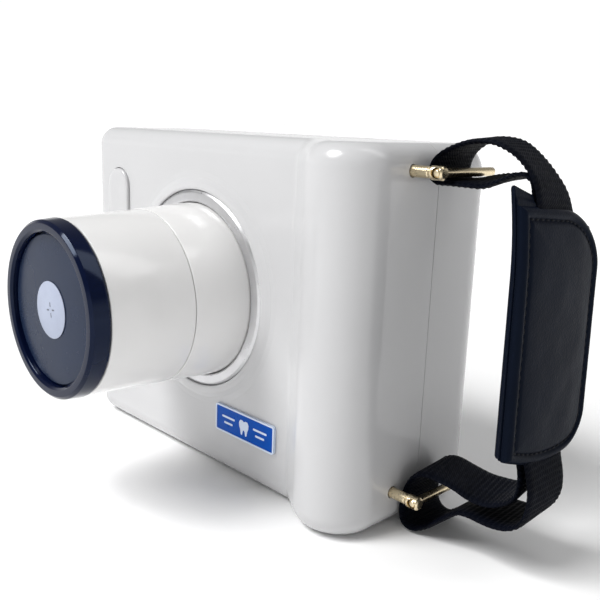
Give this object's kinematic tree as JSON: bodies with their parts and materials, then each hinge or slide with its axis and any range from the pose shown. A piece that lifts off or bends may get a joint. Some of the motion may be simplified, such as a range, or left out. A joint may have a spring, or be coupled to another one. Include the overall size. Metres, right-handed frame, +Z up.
{
  "type": "intraoral x-ray unit",
  "caption": "Hand-held camera-like x-ray unit: glossy white two-shell body, tapered beam cone with a navy end cap, side grip and a padded hand strap.",
  "frame": {"origin": "middle of the flat bottom of the body, which it stands on", "axes": "+Z up, -Y forward along the beam cone, +X towards the hand strap"},
  "size_m": [0.2384, 0.1483, 0.15],
  "materials": {
    "white_gloss": "glossy white moulded ABS",
    "white_key": "satin pale grey keys",
    "navy_gloss": "glossy dark navy",
    "slate": "smooth dark slate",
    "pale_mark": "pale lavender grey mark",
    "silver": "polished silver trim",
    "blue_label": "blue plate with light border",
    "gold": "polished gold plating",
    "black_webbing": "ribbed black nylon webbing",
    "black_pad": "black leatherette",
    "dark_glass": "dark display window",
    "grey_bezel": "grey keypad surround",
    "steel": "plain steel",
    "aluminium": "plain aluminium",
    "lead": "dull lead",
    "dark_iron": "ferrite",
    "copper": "copper",
    "board_green": "circuit board",
    "black_plastic": "black plastic",
    "cell_wrap": "blue cell wrap",
    "clear_glass": "clear tube glass"
  },
  "bodies": {
    "housing": {"front_shell": "white_gloss", "rear_shell": "white_gloss", "cone_sleeve": "white_gloss", "cone_tube": "white_gloss", "trim_ring": "silver", "cone_retaining_ring": "steel", "cap_ring": "navy_gloss", "cap_window": "slate", "centre_mark": "pale_mark", "label_plate": "blue_label", "exposure_switch": "black_plastic", "display_window": "dark_glass", "display_module": "black_plastic", "keypad_bezel": "grey_bezel", "key_board": "board_green", "charging_socket": "steel", "tank_housing": "aluminium", "tank_lid": "aluminium", "xray_tube": "clear_glass", "anode": "copper", "cathode_cup": "steel", "transformer_core": "dark_iron", "transformer_coil": "copper", "multiplier_board": "board_green", "lead_collimator": "lead", "aluminium_filter": "aluminium", "battery_holder": "black_plastic", "chassis_plate": "aluminium", "main_board": "board_green", "buzzer": "black_plastic", "strap_webbing": "black_webbing", "hand_pad": "black_pad", "upper_strap_pin": "gold", "lower_strap_pin": "gold", "battery_cell_1": "cell_wrap", "battery_cell_2": "cell_wrap", "battery_cell_3": "cell_wrap", "chassis_post_1": "steel", "case_screw_1": "steel", "chassis_post_2": "steel", "case_screw_2": "steel", "chassis_post_3": "steel", "case_screw_3": "steel", "chassis_post_4": "steel", "case_screw_4": "steel", "upper_strap_post": "gold", "lower_strap_post": "gold"},
    "exposure_button": {"exposure_button": "white_gloss"},
    "ok_key": {"ok_key": "white_key"},
    "up_key": {"up_key": "white_key"},
    "down_key": {"down_key": "white_key"},
    "left_key": {"left_key": "white_key"},
    "right_key": {"right_key": "white_key"},
    "power_key": {"power_key": "white_key"},
    "mode_key": {"mode_key": "white_key"}
  },
  "joints": [
    {"name": "exposure_button_press", "type": "slide", "parent": "housing", "child": "exposure_button", "axis": [0, 1, 0], "range_m": [0, 0.001], "stiffness_N_per_m": 400, "springref_m": -0.002},
    {"name": "ok_key_press", "type": "slide", "parent": "housing", "child": "ok_key", "axis": [0, -1, 0], "range_m": [0, 0.0005], "stiffness_N_per_m": 800, "springref_m": -0.001},
    {"name": "up_key_press", "type": "slide", "parent": "housing", "child": "up_key", "axis": [0, -1, 0], "range_m": [0, 0.0005], "stiffness_N_per_m": 800, "springref_m": -0.001},
    {"name": "down_key_press", "type": "slide", "parent": "housing", "child": "down_key", "axis": [0, -1, 0], "range_m": [0, 0.0005], "stiffness_N_per_m": 800, "springref_m": -0.001},
    {"name": "left_key_press", "type": "slide", "parent": "housing", "child": "left_key", "axis": [0, -1, 0], "range_m": [0, 0.0005], "stiffness_N_per_m": 800, "springref_m": -0.001},
    {"name": "right_key_press", "type": "slide", "parent": "housing", "child": "right_key", "axis": [0, -1, 0], "range_m": [0, 0.0005], "stiffness_N_per_m": 800, "springref_m": -0.001},
    {"name": "power_key_press", "type": "slide", "parent": "housing", "child": "power_key", "axis": [0, -1, 0], "range_m": [0, 0.0005], "stiffness_N_per_m": 800, "springref_m": -0.001},
    {"name": "mode_key_press", "type": "slide", "parent": "housing", "child": "mode_key", "axis": [0, -1, 0], "range_m": [0, 0.0005], "stiffness_N_per_m": 800, "springref_m": -0.001}
  ]
}
